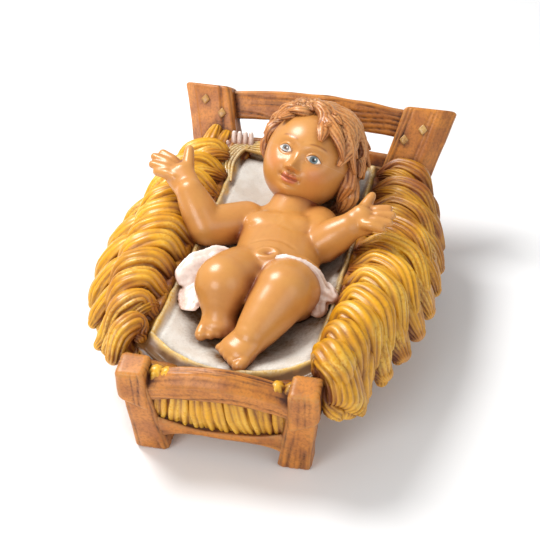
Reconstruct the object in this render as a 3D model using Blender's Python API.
"""Nativity infant lying in a straw-filled wooden manger: two loose painted castings.

Metres, +Z up. +Y points to the head end, +X is to the right for someone at the foot end.
Design lengths are written in millimetres and multiplied by MM.
"""
import math

import bmesh
import bpy
from mathutils import Matrix, Vector

MM = 0.001

# Manger: overall
END_SPAN = 91.9 * MM            # between the front faces of the two ends' posts, on the ground
FOOT_LEAN = math.radians(-8.5)  # the foot end leans out towards the viewer
HEAD_LEAN = math.radians(30.1)  # the head end leans back
FOOT_END_YAW = math.radians(2.2)    # the foot end was cast a little askew, left corner forward
STRAW_REACH = 49.5 * MM         # half the width over the straw, at its widest
STRAW_WIDEST_LEFT_Y = 8.0 * MM      # where that is on each side
STRAW_WIDEST_RIGHT_Y = 36.0 * MM
STRAW_NARROWING = 0.42          # share of the reach lost at both ends of the straw
STRAW_FOOT_Y = -45.0 * MM
STRAW_HEAD_Y = 75.0 * MM
STRAW_PAST_END = 1.15           # the narrowing stops this far past an end, as a share
UNDERSIDE_Z = 9.0 * MM          # straw and trough floor above the ground
NEST_CLEARANCE = 0.35 * MM      # gap left between the infant and its nest in the manger

# Manger: foot end timbers; lengths up a timber are measured along its slope
FOOT_POST_LENGTH = 30.8 * MM
FOOT_POST_TOP_OUTER = 25.9 * MM
FOOT_POST_TOP_INNER = 18.9 * MM
FOOT_POST_FOOT_OUTER = 24.2 * MM
FOOT_POST_FOOT_INNER = 15.0 * MM
FOOT_POST_DEPTH = 7.2 * MM
FOOT_BLOCK_LENGTH = 12.2 * MM   # the capping block at the top of each foot post
FOOT_BLOCK_SLANT = 2.6 * MM
FOOT_BLOCK_PROUD = 0.6 * MM
FOOT_RAIL_TOP = 31.6 * MM       # top of the arched upper rail at mid-span
FOOT_RAIL_HEIGHT = 8.2 * MM
FOOT_RAIL_ARCH = 4.6 * MM
FOOT_RAIL_DEPTH = 5.2 * MM
SILL_BOTTOM = 8.4 * MM          # lower rail, at mid-span
SILL_TOP = 10.8 * MM
SILL_HAUNCH = 3.6 * MM          # how far the sill swells up and down where it meets the posts
PANEL_RECESS = 1.6 * MM         # straw panel behind the face of the rails

# Manger: head end timbers
HEAD_POST_LENGTH = 56.2 * MM
HEAD_POST_TOP_OUTER = 46.0 * MM
HEAD_POST_TOP_INNER = 29.4 * MM
HEAD_POST_FOOT_OUTER = 32.0 * MM
HEAD_POST_FOOT_INNER = 16.2 * MM
HEAD_POST_DEPTH = 10.0 * MM
HEAD_POST_CHAMFER = 4.0 * MM
HEAD_RAIL_SETBACK = 4.3 * MM    # rail and head board behind the posts' front faces
HEAD_RAIL_DEPTH = 5.0 * MM
HEAD_RAIL_TOP = 57.0 * MM
HEAD_RAIL_HEIGHT = 9.8 * MM
HEAD_RAIL_ARCH = 2.3 * MM
HEAD_BOARD_TOP = 40.6 * MM
HEAD_BOARD_BOTTOM = 15.0 * MM
TIMBER_BEVEL = 0.7 * MM

# Bed of cloth in the trough
BED_FLOOR_Z = 21.5 * MM
BED_HALF_WIDTH = 22.5 * MM
BED_RIM_RISE = 7.6 * MM         # rim above the floor
BED_FOOT_Y = -40.5 * MM
BED_HEAD_Y = 61.0 * MM
BED_FOOT_RISE = 4.4 * MM        # how far the floor climbs at the foot end
BED_HEAD_RISE = 9.4 * MM        # and at the head end, as a pillow
BED_PILLOW_START_Y = 12.0 * MM
BED_FLARE = 1.12                # the open space over the cloth widens upwards by this
CUT_TOP_Z = 75.0 * MM           # above everything, where that space ends

# Straw locks
HEAP_INSET = 9.0 * MM           # flank of the heap under the locks, inside the straw's reach
HEAP_RISE = 2.2 * MM            # top of the heap above the cloth's rim
LOCKS_PER_SIDE = 10
LOCK_FIRST_Y = -38.0 * MM
LOCK_LAST_Y = 59.0 * MM
LOCK_WIDTH = 6.8 * MM           # half width of a lock
LOCK_THICKNESS = 4.0 * MM       # half thickness
LOCK_SWEEP = 10.0 * MM          # tips lie this far towards the foot end of their roots
LOCK_DROP = 13.0 * MM           # tips lie this far below the cloth's rim
LOCK_ROOT_OUT = 4.5 * MM        # roots this far outside the cloth's edge
LOCK_CREST_OUT = 12.0 * MM
LOCK_CREST_RISE = 2.2 * MM
LOCK_FALL_IN = 5.0 * MM         # where the lock turns down, inside the straw's reach
LOCK_FALL_DROP = 6.0 * MM
LOCK_TIP_IN = 1.5 * MM
FRINGE_PER_SIDE = 8
FRINGE_ROOT_IN = 15.0 * MM      # the fringe's root, bend and tip, inside the straw's reach
FRINGE_BEND_IN = 8.0 * MM
FRINGE_TIP_IN = 8.5 * MM
FRINGE_ROOT_Z = 21.0 * MM
FRINGE_BEND_Z = 18.5 * MM
FRINGE_TIP_Z = 15.0 * MM
LOCK_SCATTER = 1.0 * MM         # irregular reach of the tips

# Straw tufts on the head posts and strands at the foot end
TUFT_TOP_RISE = 41.5 * MM       # up the slope of the head end
TUFT_LOW_RISE = 30.0 * MM
TUFT_OUTER_X = 32.0 * MM        # the tufts' tops lie between these
TUFT_INNER_X = 21.0 * MM
TUFT_SPLAY = 2.0 * MM           # their lower ends lie this much further out
TUFT_TOP_PROUD = 0.6 * MM       # in front of the posts' faces
TUFT_LOW_PROUD = 4.0 * MM
TUFT_BOW = 1.2 * MM
TUFT_RADIUS = 3.2 * MM
STRAND_RADIUS = 3.4 * MM        # of the panel's strands
STRAND_LEAN = 1.4 * MM
PANEL_BACK = 3.4 * MM           # the strands' middle line behind the panel's face

# Infant: points of the free form are in figure millimetres, scaled by this length
FIGURE_LENGTH = 99.0 * MM
FIGURE_MODEL_LENGTH = 99.0      # length of the same figure in figure millimetres
FIGURE_SINK = 0.6 * MM          # how deep the back presses into the cloth
HEAD_SIZE = 1.21                # the head's own model is written smaller by this

# Fusing the loose shapes of a casting into one skin
VOXEL_MANGER = 0.75 * MM
VOXEL_INFANT = 0.50 * MM
MANGER_DECIMATE = 0.022
INFANT_DECIMATE = 0.030


def clear_scene():
    """Remove every object of the start-up scene."""
    for thing in list(bpy.data.objects):
        bpy.data.objects.remove(thing, do_unlink=True)


def make_material(name, colour, roughness):
    """A painted-plastic material with one colour."""
    material = bpy.data.materials.new(name)
    material.use_nodes = True
    shader = material.node_tree.nodes["Principled BSDF"]
    shader.inputs["Base Color"].default_value = (*colour, 1.0)
    shader.inputs["Roughness"].default_value = roughness
    shader.inputs["Metallic"].default_value = 0.0
    return material


def mix(start, end, share):
    """The value at a share of the way from start to end."""
    return start + (end - start) * share


def smooth_share(value, low, high):
    """0 below low, 1 above high and an S-curve between."""
    share = max(0.0, min(1.0, (value - low) / (high - low)))
    return share * share * (3.0 - 2.0 * share)


def ripple(index, phase):
    """A fixed irregular number from -1 to 1 for the copy with this index."""
    return math.sin(12.9898 * (index + 1) + 4.137 * phase)


def object_from(mesh_data, name, material):
    """Link a finished bmesh as a named object."""
    mesh = bpy.data.meshes.new(name)
    mesh_data.to_mesh(mesh)
    mesh_data.free()
    mesh.materials.append(material)
    made = bpy.data.objects.new(name, mesh)
    bpy.context.scene.collection.objects.link(made)
    return made


def shaped_ball(mesh_data, place, around, along):
    """Add a closed ball and move each of its points to place(share along, angle around)."""
    made = bmesh.ops.create_uvsphere(mesh_data, u_segments=around, v_segments=along, radius=1.0)
    for point in made["verts"]:
        share = math.acos(max(-1.0, min(1.0, point.co.z))) / math.pi
        angle = math.atan2(point.co.y, point.co.x)
        point.co = place(share, angle)


def curve_point(points, share):
    """A point at a share of a smooth curve through points (Catmull-Rom)."""
    spans = len(points) - 1
    position = max(0.0, min(1.0, share)) * spans
    index = min(int(position), spans - 1)
    local = position - index
    before = points[max(index - 1, 0)]
    start = points[index]
    end = points[index + 1]
    after = points[min(index + 2, spans)]
    return (start * 2.0 + (end - before) * local
            + (before * 2.0 - start * 5.0 + end * 4.0 - after) * local ** 2
            + (start * 3.0 - before - end * 3.0 + after) * local ** 3) * 0.5


def between(values, share):
    """A value at a share of a list of evenly spaced values."""
    spans = len(values) - 1
    position = max(0.0, min(1.0, share)) * spans
    index = min(int(position), spans - 1)
    return mix(values[index], values[index + 1], position - index)


CAP_SHARE = 0.2     # share of a swept ball's rings that close each end
TANGENT_STEP = 0.02


def sweep(mesh_data, points, radii, flatness=1.0, upward=Vector((0.0, 0.0, 1.0)), around=12, along=12):
    """Add a round-ended limb along a curve; flatness is thickness over width."""
    def place(share, angle):
        inner = (share - CAP_SHARE) / (1.0 - 2.0 * CAP_SHARE)
        inner = max(0.0, min(1.0, inner))
        ahead = curve_point(points, min(inner + TANGENT_STEP, 1.0))
        behind = curve_point(points, max(inner - TANGENT_STEP, 0.0))
        tangent = (ahead - behind).normalized()
        side = tangent.cross(upward).normalized()
        normal = side.cross(tangent).normalized()
        centre = curve_point(points, inner)
        radius = between(radii, inner)
        if share < CAP_SHARE:
            turn = share / CAP_SHARE * math.pi / 2.0
            centre = centre - tangent * radius * math.cos(turn) * flatness
            radius *= math.sin(turn)
        elif share > 1.0 - CAP_SHARE:
            turn = (1.0 - share) / CAP_SHARE * math.pi / 2.0
            centre = centre + tangent * radius * math.cos(turn) * flatness
            radius *= math.sin(turn)
        return centre + (side * math.cos(angle) + normal * math.sin(angle) * flatness) * radius
    shaped_ball(mesh_data, place, around, along)


def ellipsoid(mesh_data, centre, radii, axes=None, around=16, along=12):
    """Add an ellipsoid; axes are its own X, Y and Z directions."""
    turn = Matrix.Identity(3) if axes is None else Matrix(axes).transposed()
    matrix = Matrix.Translation(centre) @ turn.to_4x4() @ Matrix.Diagonal((*radii, 1.0))
    bmesh.ops.create_uvsphere(mesh_data, u_segments=around, v_segments=along, radius=1.0, matrix=matrix)


def add_modifier(thing, kind, **values):
    """Add a modifier with the given settings."""
    modifier = thing.modifiers.new(kind.title(), kind)
    for key, value in values.items():
        setattr(modifier, key, value)
    return modifier


def fuse(thing, voxel, keep):
    """Make one skin of the loose closed shapes in an object, then thin its faces."""
    add_modifier(thing, 'REMESH', mode='VOXEL', voxel_size=voxel)
    add_modifier(thing, 'SMOOTH', factor=0.5, iterations=2)
    add_modifier(thing, 'DECIMATE', ratio=keep)


def cut_or_join(thing, other, operation):
    """Boolean with a helper object, which the model then leaves out.

    The solver is MANIFOLD because EXACT lost most of the thinned straw at some sizes.
    """
    add_modifier(thing, 'BOOLEAN', operation=operation, object=other, solver='MANIFOLD')
    other.hide_render = True
    other.display_type = 'WIRE'


# The bed of cloth

def straw_reach(side, y):
    """How far the straw reaches out from the middle at y, on the left (-1) or right (+1)."""
    widest = STRAW_WIDEST_LEFT_Y if side < 0.0 else STRAW_WIDEST_RIGHT_Y
    end = STRAW_FOOT_Y if y < widest else STRAW_HEAD_Y
    share = min(STRAW_PAST_END, (y - widest) / (end - widest))
    return STRAW_REACH * (1.0 - STRAW_NARROWING * share ** 2.15)


def bed_floor(y):
    """Height of the bed's middle line: it climbs to the foot and to the pillow."""
    foot = smooth_share(-y, -BED_FOOT_Y * 0.45, -BED_FOOT_Y)
    head = max(0.0, (y - BED_PILLOW_START_Y) / (BED_HEAD_Y - BED_PILLOW_START_Y))
    return BED_FLOOR_Z + BED_FOOT_RISE * foot + BED_HEAD_RISE * min(1.0, head) ** 1.2


def bed_rim(y):
    """Height of the bed's long edges."""
    head = smooth_share(y, BED_PILLOW_START_Y, BED_HEAD_Y)
    return BED_FLOOR_Z + BED_RIM_RISE + BED_HEAD_RISE * 0.3 * head


def bed_height(x, y):
    """Height of the cloth: a trough between the rims."""
    across = (abs(x) / BED_HALF_WIDTH) ** 2.2
    return mix(bed_floor(y), bed_rim(y), across)


BED_STEPS_ACROSS = 10
BED_STEPS_ALONG = 14


def build_bed_cutter(material):
    """The open space over the cloth, as a closed solid."""
    mesh_data = bmesh.new()
    bmesh.ops.create_grid(mesh_data, x_segments=BED_STEPS_ACROSS, y_segments=BED_STEPS_ALONG, size=1.0)
    middle = (BED_FOOT_Y + BED_HEAD_Y) / 2.0
    half_length = (BED_HEAD_Y - BED_FOOT_Y) / 2.0
    for point in mesh_data.verts:
        x = point.co.x * BED_HALF_WIDTH
        y = middle + point.co.y * half_length
        point.co = (x, y, bed_height(x, y))
    raised = bmesh.ops.extrude_face_region(mesh_data, geom=mesh_data.faces[:])
    for piece in raised["geom"]:
        if isinstance(piece, bmesh.types.BMVert):
            piece.co.z = CUT_TOP_Z
            piece.co.x *= BED_FLARE
    bmesh.ops.recalc_face_normals(mesh_data, faces=mesh_data.faces)
    return object_from(mesh_data, "bed_space", material)


# Straw

def build_straw(material):
    """Trough body and straw locks as loose closed shapes in one object."""
    mesh_data = bmesh.new()
    add_trough_body(mesh_data)
    for side in (-1.0, 1.0):
        for index in range(LOCKS_PER_SIDE):
            add_lock(mesh_data, side, index)
        for index in range(FRINGE_PER_SIDE):
            add_fringe(mesh_data, side, index)
    add_foot_straw(mesh_data)
    add_pillow_straw(mesh_data)
    return object_from(mesh_data, "manger", material)


TROUGH_FOOT_GAP = 2.0 * MM


def add_trough_body(mesh_data):
    """The solid heap that the locks lie on."""
    foot_y = -END_SPAN / 2.0 + TROUGH_FOOT_GAP
    head_low_y = END_SPAN / 2.0 + HEAD_RAIL_SETBACK + HEAD_RAIL_DEPTH

    def place(share, angle):
        y = mix(foot_y, head_low_y, share)
        fade = (1.0 - abs(2.0 * share - 1.0) ** 8) ** 0.5
        across = math.cos(angle)
        reach = straw_reach(across, y) - HEAP_INSET
        top = bed_rim(y) + HEAP_RISE
        low = UNDERSIDE_Z
        middle = mix(low, top, 0.5)
        rise = math.sin(angle)
        x = reach * math.copysign(abs(across) ** 0.55, across)
        z = middle + (top - middle) * math.copysign(abs(rise) ** 0.6, rise)
        narrow = smooth_share(middle - z, 0.0, middle - low)
        x *= 1.0 - 0.28 * narrow
        y += share * math.tan(HEAD_LEAN) * z
        return Vector((x * fade, y, middle + (z - middle) * fade))
    shaped_ball(mesh_data, place, 28, 22)


def lock_y(index, count):
    """Where a lock's root lies along the trough."""
    return mix(LOCK_FIRST_Y, LOCK_LAST_Y, (index + 0.5) / count)


def add_lock(mesh_data, side, index):
    """One thick lock from the edge of the cloth over the heap and down its flank."""
    y = lock_y(index, LOCKS_PER_SIDE) + ripple(index, side) * LOCK_SCATTER * 1.6
    reach = straw_reach(side, y - LOCK_SWEEP * 0.7) + ripple(index, side + 5.0) * LOCK_SCATTER
    rim = bed_rim(y)
    root_x = BED_HALF_WIDTH + LOCK_ROOT_OUT
    fall_x = max(reach - LOCK_FALL_IN, root_x + LOCK_FALL_IN)
    crest_x = min(BED_HALF_WIDTH + LOCK_CREST_OUT, mix(root_x, fall_x, 0.5))
    root = Vector((side * root_x, y + LOCK_SWEEP * 0.2, rim))
    crest = Vector((side * crest_x, y - LOCK_SWEEP * 0.15, rim + LOCK_CREST_RISE))
    fall = Vector((side * fall_x, y - LOCK_SWEEP * 0.6, rim - LOCK_FALL_DROP))
    tip = Vector((side * max(reach - LOCK_TIP_IN, fall_x), y - LOCK_SWEEP, rim - LOCK_DROP))
    width = LOCK_WIDTH * (1.0 + 0.15 * ripple(index, side + 2.0))
    radii = [width * share for share in (0.62, 1.0, 0.95, 0.45)]
    sweep(mesh_data, [root, crest, fall, tip], radii, LOCK_THICKNESS / LOCK_WIDTH,
          Vector((side * 0.35, 0.0, 1.0)), 12, 14)


def add_fringe(mesh_data, side, index):
    """A shorter lock below, drooping towards the ground."""
    y = lock_y(index, FRINGE_PER_SIDE) + ripple(index, side + 3.0) * LOCK_SCATTER * 2.0
    reach = straw_reach(side, y - LOCK_SWEEP) + ripple(index, side + 7.0) * LOCK_SCATTER
    root = Vector((side * (reach - FRINGE_ROOT_IN), y, FRINGE_ROOT_Z))
    middle = Vector((side * (reach - FRINGE_BEND_IN), y - LOCK_SWEEP * 0.4, FRINGE_BEND_Z))
    tip = Vector((side * (reach - FRINGE_TIP_IN), y - LOCK_SWEEP * 0.8, FRINGE_TIP_Z))
    width = LOCK_WIDTH * (0.95 + 0.12 * ripple(index, side + 4.0))
    radii = [width * share for share in (0.8, 1.0, 0.5)]
    sweep(mesh_data, [root, middle, tip], radii, LOCK_THICKNESS / LOCK_WIDTH,
          Vector((side, 0.0, 0.5)), 12, 10)


def foot_end_place(x, depth, rise):
    """A point of the leaning foot end: across, behind its front face and up its slope."""
    leaned = Matrix.Rotation(-FOOT_LEAN, 3, 'X') @ Vector((x, depth, rise))
    return Matrix.Rotation(FOOT_END_YAW, 3, 'Z') @ leaned + Vector((0.0, -END_SPAN / 2.0, 0.0))


PANEL_STRANDS = 9


def add_foot_straw(mesh_data):
    """The panel of straw between the rails and the straw heaped behind the upper rail."""
    half = FOOT_POST_TOP_INNER + 1.0 * MM
    low = SILL_BOTTOM + 1.0 * MM
    high = FOOT_RAIL_TOP - 4.0 * MM
    for index in range(PANEL_STRANDS):
        x = mix(-half, half, (index + 0.5) / PANEL_STRANDS)
        lean = STRAND_LEAN * ripple(index, 1.0)
        depth = PANEL_RECESS + PANEL_BACK + 0.3 * MM * ripple(index, 2.0)
        points = [foot_end_place(x - lean, depth, high), foot_end_place(x, depth - 1.0 * MM, mix(low, high, 0.45)),
                  foot_end_place(x + lean, depth, low)]
        radii = [STRAND_RADIUS * share for share in (0.88, 1.0, 0.76)]
        sweep(mesh_data, points, radii, 1.0, Vector((0.0, -1.0, 0.0)), 8, 8)
    for index, side in enumerate((-1.0, 1.0)):
        start = foot_end_place(side * (FOOT_POST_TOP_OUTER - 3.0 * MM), FOOT_POST_DEPTH + 1.5 * MM, 26.0 * MM)
        end = foot_end_place(side * 5.0 * MM, FOOT_POST_DEPTH, 26.6 * MM)
        sweep(mesh_data, [start, mix(start, end, 0.5) + Vector((0.0, 0.0, 0.7 * MM)), end],
              [3.6 * MM, 3.2 * MM, 2.2 * MM], 0.8, Vector((0.0, 0.0, 1.0)), 10, 8)


PILLOW_TUFTS = 4


def add_pillow_straw(mesh_data):
    """Straw bundles that climb the head posts from the corners of the bed."""
    for side in (-1.0, 1.0):
        for index in range(PILLOW_TUFTS):
            share = index / (PILLOW_TUFTS - 1.0)
            across = mix(TUFT_OUTER_X, TUFT_INNER_X, share)
            top = head_end_place(side * across, -TUFT_TOP_PROUD, TUFT_TOP_RISE)
            low = head_end_place(side * (across + TUFT_SPLAY), -TUFT_LOW_PROUD, TUFT_LOW_RISE)
            middle = (top + low) / 2.0 + Vector((0.0, -TUFT_BOW, TUFT_BOW))
            radii = [TUFT_RADIUS * share for share in (0.81, 1.0, 0.69)]
            sweep(mesh_data, [low, middle, top], radii, 0.75, Vector((0.0, -1.0, 1.0)), 8, 8)


# Timbers

def tapered_timber(name, material, low_x, high_x, length, depth, lean, place, chamfer=0.0):
    """A square post: low_x and high_x are its inner and outer x at foot and top.

    place turns a local point (x, depth behind the front face, rise up the slope) into its place
    in the manger; the foot is cut level with the ground and the top square to the slope.
    chamfer is the bevel of the edge between the front and the outer side.
    """
    mesh_data = bmesh.new()
    bmesh.ops.create_cube(mesh_data, size=1.0)
    outer_sign = math.copysign(1.0, high_x[1])
    if chamfer > 0.0:
        outer_edges = [edge for edge in mesh_data.edges
                       if all(point.co.x * outer_sign > 0.0 and point.co.y < 0.0 for point in edge.verts)]
        bmesh.ops.bevel(mesh_data, geom=outer_edges, offset=chamfer / depth, offset_type='OFFSET',
                        affect='EDGES', segments=2, profile=0.5)
    for point in mesh_data.verts:
        up_share = point.co.z + 0.5
        inward = point.co.x * outer_sign + 0.5
        x = mix(mix(low_x[0], low_x[1], inward), mix(high_x[0], high_x[1], inward), up_share)
        behind = (point.co.y + 0.5) * depth
        point.co = place(x, behind, mix(behind * math.tan(lean), length, up_share))
    bmesh.ops.recalc_face_normals(mesh_data, faces=mesh_data.faces)
    sharp = [edge for edge in mesh_data.edges if edge.calc_face_angle(0.0) > math.radians(50.0)]
    sharp = [edge for edge in sharp if max(point.co.z for point in edge.verts) > 1.0 * MM]
    bmesh.ops.bevel(mesh_data, geom=sharp, offset=TIMBER_BEVEL, offset_type='OFFSET', affect='EDGES',
                    segments=1, profile=0.5)
    return object_from(mesh_data, name, material)


RAIL_STEPS = 10


def arched_rail(name, material, half_span, depth, top_at, bottom_at, place):
    """A rail across an end; top_at and bottom_at give its edges' heights at a share of the span."""
    mesh_data = bmesh.new()
    bmesh.ops.create_cube(mesh_data, size=1.0)
    long_edges = [edge for edge in mesh_data.edges if abs(edge.verts[0].co.x - edge.verts[1].co.x) > 0.5]
    bmesh.ops.subdivide_edges(mesh_data, edges=long_edges, cuts=RAIL_STEPS - 1, use_grid_fill=True)
    for point in mesh_data.verts:
        share = point.co.x * 2.0
        height = top_at(share) if point.co.z > 0.0 else bottom_at(share)
        point.co = place(share * half_span, (point.co.y + 0.5) * depth, height)
    bmesh.ops.recalc_face_normals(mesh_data, faces=mesh_data.faces)
    return object_from(mesh_data, name, material)


def head_end_place(x, depth, rise):
    """A point of the leaning head end: across, behind its front face and up its slope."""
    leaned = Matrix.Rotation(-HEAD_LEAN, 3, 'X') @ Vector((x, depth, rise))
    return leaned + Vector((0.0, END_SPAN / 2.0, 0.0))


def build_timbers(material):
    """Posts and rails of both ends, as separate helper solids to be joined to the manger."""
    timbers = []
    for name, side in (("left", -1.0), ("right", 1.0)):
        timbers.append(tapered_timber(
            "foot_post_" + name, material,
            (side * FOOT_POST_FOOT_INNER, side * FOOT_POST_FOOT_OUTER),
            (side * FOOT_POST_TOP_INNER, side * FOOT_POST_TOP_OUTER),
            FOOT_POST_LENGTH - TIMBER_BEVEL, FOOT_POST_DEPTH, FOOT_LEAN, foot_end_place))
        timbers.append(build_foot_block("foot_block_" + name, material, side))
        timbers.append(tapered_timber(
            "head_post_" + name, material,
            (side * HEAD_POST_FOOT_INNER, side * HEAD_POST_FOOT_OUTER),
            (side * HEAD_POST_TOP_INNER, side * HEAD_POST_TOP_OUTER),
            HEAD_POST_LENGTH, HEAD_POST_DEPTH, HEAD_LEAN, head_end_place, HEAD_POST_CHAMFER))
    foot_half = FOOT_POST_TOP_INNER + 1.5 * MM
    sill_half = FOOT_POST_FOOT_INNER + 2.5 * MM
    head_half = HEAD_POST_TOP_INNER + 2.0 * MM
    board_half = HEAD_POST_FOOT_OUTER - 3.0 * MM

    def foot_rail_place(x, y, z):
        return foot_end_place(x, y + 0.3 * MM, z)

    def head_rail_place(x, y, z):
        return head_end_place(x, y + HEAD_RAIL_SETBACK, z)

    timbers.append(arched_rail(
        "foot_rail", material, foot_half, FOOT_RAIL_DEPTH,
        lambda share: FOOT_RAIL_TOP - FOOT_RAIL_ARCH * share ** 2,
        lambda share: FOOT_RAIL_TOP - FOOT_RAIL_HEIGHT - FOOT_RAIL_ARCH * 0.75 * share ** 2,
        foot_rail_place))
    timbers.append(arched_rail(
        "foot_sill", material, sill_half, FOOT_RAIL_DEPTH,
        lambda share: SILL_TOP + SILL_HAUNCH * abs(share) ** 2.5,
        lambda share: SILL_BOTTOM - SILL_HAUNCH * abs(share) ** 4,
        foot_rail_place))
    timbers.append(arched_rail(
        "head_rail", material, head_half, HEAD_RAIL_DEPTH,
        lambda share: HEAD_RAIL_TOP - HEAD_RAIL_ARCH * share ** 2,
        lambda share: HEAD_RAIL_TOP - HEAD_RAIL_HEIGHT - HEAD_RAIL_ARCH * 0.8 * share ** 2,
        head_rail_place))
    timbers.append(arched_rail(
        "head_board", material, board_half, HEAD_RAIL_DEPTH,
        lambda share: HEAD_BOARD_TOP - 0.8 * MM * share ** 2,
        lambda share: HEAD_BOARD_BOTTOM - 1.5 * MM * abs(share) ** 4,
        head_rail_place))
    return timbers


def build_foot_block(name, material, side):
    """The block that caps a foot post, standing a little proud with a slanted lower edge."""
    inner = FOOT_POST_TOP_INNER - FOOT_BLOCK_PROUD
    outer = FOOT_POST_TOP_OUTER + FOOT_BLOCK_PROUD
    mesh_data = bmesh.new()
    bmesh.ops.create_cube(mesh_data, size=1.0)
    for point in mesh_data.verts:
        inward = point.co.x + 0.5
        x = side * mix(inner, outer, inward)
        z = FOOT_POST_LENGTH
        if point.co.z < 0.0:
            z -= FOOT_BLOCK_LENGTH - FOOT_BLOCK_SLANT * (2.0 * inward - 1.0)
        y = mix(-FOOT_BLOCK_PROUD, FOOT_POST_DEPTH + 0.4 * MM, point.co.y + 0.5)
        point.co = foot_end_place(x, y, z)
    mesh_data.normal_update()
    bmesh.ops.recalc_face_normals(mesh_data, faces=mesh_data.faces)
    bmesh.ops.bevel(mesh_data, geom=mesh_data.edges[:], offset=TIMBER_BEVEL, offset_type='OFFSET',
                    affect='EDGES', segments=1, profile=0.5)
    bmesh.ops.recalc_face_normals(mesh_data, faces=mesh_data.faces)
    return object_from(mesh_data, name, material)


# Infant: figure points are (right, towards the head, above the bed floor) in figure millimetres

def figure_unit():
    """Metres in one figure millimetre."""
    return FIGURE_LENGTH / FIGURE_MODEL_LENGTH


def fig(x, y, z):
    """A figure point in metres, set down on the bed."""
    unit = figure_unit()
    return Vector((x * unit, y * unit, z * unit - FIGURE_SINK + BED_FLOOR_Z))


def fig_sweep(mesh_data, points, radii, flatness=1.0, upward=(0.0, 0.0, 1.0), around=14, along=14):
    """A limb through figure points."""
    unit = figure_unit()
    sweep(mesh_data, [fig(*point) for point in points], [radius * unit for radius in radii],
          flatness, Vector(upward), around, along)


HEAD_CENTRE = Vector((4.6, 42.6, 22.2))
HEAD_CROWN = Vector((0.276, 0.548, 0.790)).normalized()
HEAD_SIDE = Vector((-0.085, -0.805, 0.588)).cross(HEAD_CROWN).normalized()
HEAD_FACE = HEAD_CROWN.cross(HEAD_SIDE).normalized()
HEAD_AXES = (HEAD_SIDE, HEAD_FACE, HEAD_CROWN)


def head_point(right, forward, up):
    """A figure point given from the head's centre along its own axes."""
    return HEAD_CENTRE + (HEAD_SIDE * right + HEAD_FACE * forward + HEAD_CROWN * up) * HEAD_SIZE


def head_ball(mesh_data, right, forward, up, radii):
    """An ellipsoid set in the head's own axes."""
    unit = figure_unit() * HEAD_SIZE
    ellipsoid(mesh_data, fig(*head_point(right, forward, up)), [radius * unit for radius in radii], HEAD_AXES)


def add_head(mesh_data):
    """Skull, cheeks and a plain calm child's face."""
    head_ball(mesh_data, 0.0, 0.0, 1.0, (11.6, 12.2, 12.6))
    head_ball(mesh_data, 0.0, 3.2, -4.2, (10.2, 8.6, 8.6))
    for side in (-1.0, 1.0):
        head_ball(mesh_data, side * 4.6, 6.8, -4.6, (4.6, 4.2, 4.2))
        head_ball(mesh_data, side * 4.0, 8.9, 0.9, (3.0, 2.3, 1.5))
        head_ball(mesh_data, side * 10.9, -0.6, -2.4, (1.8, 2.2, 2.9))
    head_ball(mesh_data, 0.0, 9.6, -8.6, (3.4, 2.8, 2.6))
    head_ball(mesh_data, 0.0, 11.3, -5.9, (2.7, 1.5, 1.3))
    head_ball(mesh_data, 0.0, 12.2, -2.6, (1.7, 1.9, 1.5))
    head_ball(mesh_data, 0.0, 11.2, -0.6, (1.1, 1.6, 2.4))


HAIR_LOCKS = 15
HAIR_ARC = math.radians(312.0)      # the locks leave the middle of the face free
HAIR_SKIN = 13.4                    # distance of the locks' middle from the head's centre


def add_hair(mesh_data):
    """A cap of hair and wavy locks that fall from the crown."""
    head_ball(mesh_data, 0.0, -2.2, 2.6, (12.9, 11.8, 12.4))
    whorl = (0.0, -0.35, 1.0)
    for index in range(HAIR_LOCKS):
        share = index / (HAIR_LOCKS - 1.0)
        turn = mix(-HAIR_ARC / 2.0, HAIR_ARC / 2.0, share)
        outward = (math.sin(turn), -math.cos(turn))
        fall = 98.0 + 14.0 * ripple(index, 2.0) - 26.0 * abs(2.0 * share - 1.0) ** 3
        points = []
        for step in range(4):
            down = math.radians(mix(16.0, fall, step / 3.0))
            wave = 0.13 * math.sin(2.2 * step + index)
            away = HAIR_SKIN + (0.5 if step % 2 else -0.2) + (0.8 if step == 3 else 0.0)
            right = outward[0] * math.cos(wave) - outward[1] * math.sin(wave)
            back = outward[1] * math.cos(wave) + outward[0] * math.sin(wave)
            points.append(head_point(away * 0.92 * math.sin(down) * right + whorl[0],
                                     away * 0.88 * math.sin(down) * back + whorl[1],
                                     away * 0.98 * math.cos(down) + whorl[2]))
        radii = [radius * HEAD_SIZE for radius in (1.6, 2.7, 2.6, 1.3)]
        fig_sweep(mesh_data, points, radii, 0.8, HEAD_CROWN, 8, 10)
    for start, end, size in (((11.5, -1.0, -1.0), (13.2, -2.6, -8.2), 3.0),
                             ((10.0, -5.0, -4.0), (10.8, -6.5, -10.4), 2.8),
                             ((-11.6, -1.5, 0.0), (-12.0, -2.8, -5.6), 2.4)):
        middle = [(a + b) / 2.0 for a, b in zip(start, end)]
        middle[0] += math.copysign(1.2, start[0])
        fig_sweep(mesh_data, [head_point(*start), head_point(*middle), head_point(*end)],
                  [radius * HEAD_SIZE for radius in (2.0, size, size * 0.6)], 0.85, HEAD_FACE, 8, 8)


def add_torso(mesh_data):
    """Trunk from pelvis to neck, shoulders and a round belly."""
    fig_sweep(mesh_data, [(2.2, -7.5, 8.6), (2.6, -1.0, 9.2), (2.4, 9.0, 9.0), (1.2, 18.0, 9.2), (0.4, 24.0, 10.0)],
              (10.6, 13.0, 12.6, 12.4, 9.4), 0.73, around=18, along=18)
    fig_sweep(mesh_data, [(1.0, 22.0, 10.4), (2.6, 30.5, 13.6), (4.2, 38.0, 17.0)], (7.6, 6.9, 7.4))
    unit = figure_unit()
    ellipsoid(mesh_data, fig(2.6, -1.0, 10.8), [radius * unit for radius in (10.8, 9.8, 8.0)])


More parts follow.
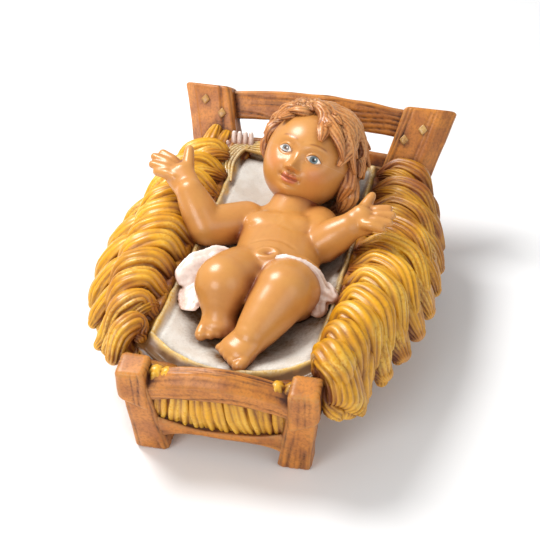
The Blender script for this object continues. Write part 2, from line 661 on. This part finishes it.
ARMS = (
    # shoulder, elbow, wrist, palm, fingertips (first to last), thumb tip
    ((-10.4, 21.4, 10.6), (-20.2, 12.6, 13.0), (-26.3, 17.0, 21.6), (-31.2, 22.2, 24.4),
     ((-38.2, 28.4, 26.8), (-40.2, 26.4, 26.4), (-40.0, 23.6, 25.4), (-38.0, 21.4, 24.4)), (-30.0, 29.6, 28.6)),
    ((11.0, 24.2, 10.4), (14.9, 13.6, 12.0), (21.6, 14.8, 17.8), (26.0, 16.4, 20.6),
     ((32.4, 20.2, 22.6), (33.8, 17.6, 22.2), (33.4, 14.8, 21.4), (31.4, 12.6, 20.6)), (26.8, 23.8, 24.0)),
)


def add_arm(mesh_data, shoulder, elbow, wrist, palm, tips, thumb):
    """One plump arm with an open hand."""
    fig_sweep(mesh_data, [shoulder, elbow], (6.5, 5.8), 1.0, (0.2, 0.3, 1.0))
    fig_sweep(mesh_data, [elbow, wrist], (5.7, 4.3), 1.0, (0.2, 0.3, 1.0))
    upward = (0.1, -0.75, 0.65)
    fig_sweep(mesh_data, [wrist, palm], (4.1, 4.6), 0.62, upward)
    for index, tip in enumerate(tips):
        share = index / (len(tips) - 1.0)
        along = [end - start for start, end in zip(palm, tip)]
        knuckle = [start + 0.22 * step for start, step in zip(palm, along)]
        knuckle[1] += mix(1.6, -1.6, share)
        fig_sweep(mesh_data, [palm, knuckle, tip], (1.8, 1.6, 1.35), 1.0, upward, 8, 8)
    root = [mix(start, end, 0.35) for start, end in zip(wrist, palm)]
    fig_sweep(mesh_data, [root, [mix(a, b, 0.5) for a, b in zip(root, thumb)], thumb], (2.6, 2.1, 1.5),
              1.0, upward, 8, 8)


LEGS = (
    # hip, knee, ankle, toes
    ((-5.0, -4.6, 8.8), (-7.2, -15.8, 14.2), (-6.6, -22.6, 7.8), (-6.0, -27.4, 5.0)),
    ((10.0, -5.6, 8.8), (9.0, -14.6, 14.6), (2.2, -30.2, 7.4), (-1.8, -34.6, 5.2)),
)
TOES = 5


def add_leg(mesh_data, hip, knee, ankle, toes):
    """One bent leg with a short foot and five toes."""
    fig_sweep(mesh_data, [hip, knee], (9.6, 8.2), 1.0, (0.3, 0.2, 1.0))
    fig_sweep(mesh_data, [knee, ankle], (8.0, 7.0, 5.3), 1.0, (1.0, 0.0, 0.3))
    fig_sweep(mesh_data, [ankle, toes], (4.9, 4.5), 0.8, (0.0, -0.3, 1.0))
    start = Vector(ankle)
    end = Vector(toes)
    ahead = (end - start).normalized()
    across = ahead.cross(Vector((0.0, 0.0, 1.0))).normalized()
    for index in range(TOES):
        share = index / (TOES - 1.0)
        spread = across * mix(-3.5, 3.5, share)
        reach = ahead * mix(3.9, 2.6, share)
        size = mix(1.6, 1.1, share)
        fig_sweep(mesh_data, [end + spread * 0.8, end + spread + reach], (size, size), 1.0, (0.0, 0.0, 1.0), 8, 8)


def add_loincloth(mesh_data):
    """A cloth wound round the hips, with a loose flap and a knot."""
    unit = figure_unit()
    ellipsoid(mesh_data, fig(2.4, -8.0, 7.8), [radius * unit for radius in (14.4, 8.8, 7.6)])
    fig_sweep(mesh_data, [(-9.0, -5.0, 9.6), (-17.0, -7.0, 9.6), (-22.4, -11.6, 9.2)], (4.8, 5.4, 1.8), 0.34,
              (0.2, -0.5, 1.0))
    fig_sweep(mesh_data, [(-11.0, -9.0, 8.4), (-16.6, -13.6, 7.6), (-16.8, -19.0, 6.6)], (4.8, 4.6, 2.0), 0.36,
              (0.0, -0.5, 1.0))
    fig_sweep(mesh_data, [(5.0, -6.6, 16.4), (12.6, -8.6, 15.4), (17.0, -8.0, 10.4)], (1.8, 2.4, 3.0), 0.6,
              (0.6, -0.3, 1.0))
    fig_sweep(mesh_data, [(14.4, -7.4, 9.8), (19.2, -7.4, 9.6), (21.8, -8.8, 9.4)], (3.2, 3.0, 1.5), 0.8)
    fig_sweep(mesh_data, [(13.6, -9.6, 8.2), (16.4, -13.6, 7.6)], (3.4, 2.2), 0.7)


def build_infant_mesh():
    """Every part of the infant as loose closed shapes in one mesh."""
    mesh_data = bmesh.new()
    add_torso(mesh_data)
    add_head(mesh_data)
    add_hair(mesh_data)
    for arm in ARMS:
        add_arm(mesh_data, *arm)
    for leg in LEGS:
        add_leg(mesh_data, *leg)
    add_loincloth(mesh_data)
    return mesh_data


def set_over_origin(castings, helpers):
    """Move everything so that the origin is at the middle of the castings' box, on the ground."""
    graph = bpy.context.evaluated_depsgraph_get()
    corners = [Vector(corner) for casting in castings for corner in casting.evaluated_get(graph).bound_box]
    middle_x = (min(corner.x for corner in corners) + max(corner.x for corner in corners)) / 2.0
    middle_y = (min(corner.y for corner in corners) + max(corner.y for corner in corners)) / 2.0
    for thing in castings + helpers:
        thing.location = (-middle_x, -middle_y, 0.0)
    print(f"middle of the base in design millimetres: {middle_x / MM:.3f}, {middle_y / MM:.3f}")


def main():
    """Build the manger and the infant."""
    clear_scene()
    straw_paint = make_material("painted_straw_and_wood", (0.62, 0.36, 0.10), 0.35)
    flesh_paint = make_material("painted_flesh", (0.72, 0.42, 0.22), 0.30)

    infant = object_from(build_infant_mesh(), "infant", flesh_paint)
    fuse(infant, VOXEL_INFANT, INFANT_DECIMATE)
    infant.data.shade_smooth()

    nest = bpy.data.objects.new("infant_nest", infant.data)
    bpy.context.scene.collection.objects.link(nest)
    fuse(nest, VOXEL_INFANT, INFANT_DECIMATE)
    add_modifier(nest, 'DISPLACE', strength=NEST_CLEARANCE, mid_level=0.0)

    manger = build_straw(straw_paint)
    fuse(manger, VOXEL_MANGER, MANGER_DECIMATE)
    bed_space = build_bed_cutter(straw_paint)
    cut_or_join(manger, bed_space, 'DIFFERENCE')
    timbers = build_timbers(straw_paint)
    for timber in timbers:
        cut_or_join(manger, timber, 'UNION')
    cut_or_join(manger, nest, 'DIFFERENCE')
    set_over_origin([infant, manger], [nest, bed_space] + timbers)


main()
